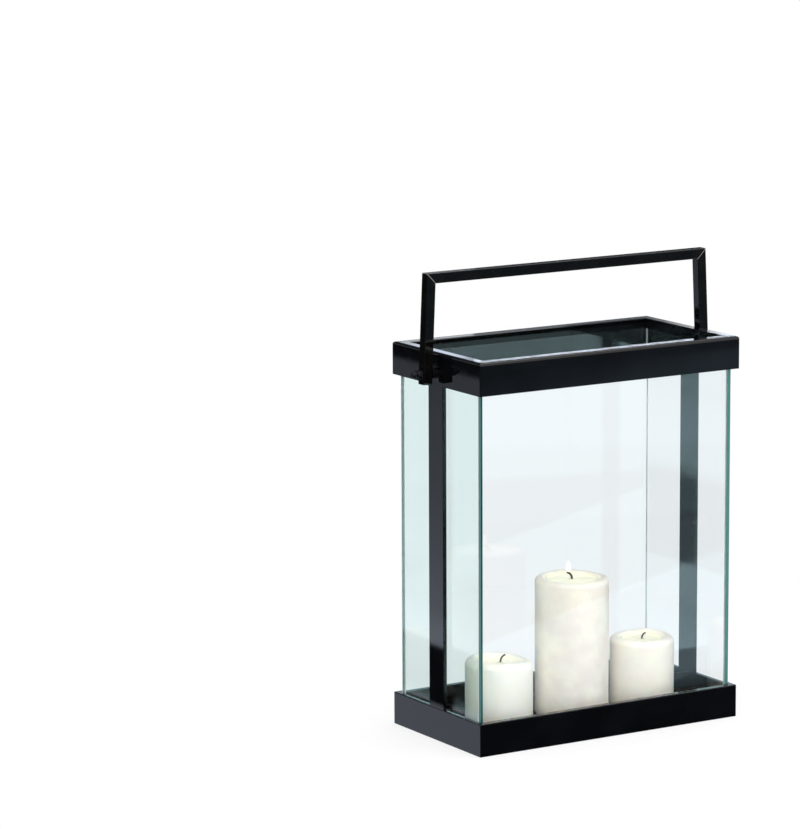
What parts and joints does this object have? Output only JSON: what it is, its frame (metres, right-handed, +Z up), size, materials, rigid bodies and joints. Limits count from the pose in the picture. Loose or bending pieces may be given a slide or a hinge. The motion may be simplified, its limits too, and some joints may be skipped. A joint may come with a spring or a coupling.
{
  "type": "hurricane candle lantern",
  "caption": "Rectangular candle lantern: black steel tray and open rim joined by flat struts, glass panes on each side, a swinging bail handle and pillar candles.",
  "frame": {"origin": "centre of the underside of the tray", "axes": "+X along the long side to the right, +Y to the back, +Z up"},
  "size_m": [0.3544, 0.158, 0.458],
  "materials": {
    "frame_steel": "gloss black enamel on folded steel sheet",
    "handle_steel": "satin black enamel on square steel bar",
    "fastener_steel": "black oxide on steel fasteners",
    "glass": "clear float glass with ground edges",
    "wax": "ivory paraffin wax, slightly translucent",
    "wick": "charred cotton wick"
  },
  "bodies": {
    "lantern": {"base_tray": "frame_steel", "base_bottom": "frame_steel", "glass_front": "glass", "glass_back": "glass", "glass_left": "glass", "glass_right": "glass", "strut_left": "frame_steel", "strut_right": "frame_steel", "top_frame": "frame_steel", "pivot_bolts": "fastener_steel", "pivot_spacers": "fastener_steel", "pivot_washers": "fastener_steel", "cap_nuts": "fastener_steel"},
    "handle": {"handle_bar": "handle_steel", "handle_leg_left": "handle_steel", "handle_leg_right": "handle_steel"},
    "candle_middle_body": {"candle_middle": "wax", "wick_middle": "wick"},
    "candle_left_body": {"candle_left": "wax", "wick_left": "wick"},
    "candle_right_body": {"candle_right": "wax", "wick_right": "wick"}
  },
  "joints": [
    {"name": "handle_swing", "type": "hinge", "parent": "lantern", "child": "handle", "pos_m": [0, 0, 0.361], "axis": [1, 0, 0], "range_deg": [-118, 118]},
    {"name": "candle_middle_lift", "type": "slide", "parent": "lantern", "child": "candle_middle_body", "axis": [0, 0, 1], "range_m": [0, 0.29]},
    {"name": "candle_left_lift", "type": "slide", "parent": "lantern", "child": "candle_left_body", "axis": [0, 0, 1], "range_m": [0, 0.36]},
    {"name": "candle_right_lift", "type": "slide", "parent": "lantern", "child": "candle_right_body", "axis": [0, 0, 1], "range_m": [0, 0.354]}
  ]
}
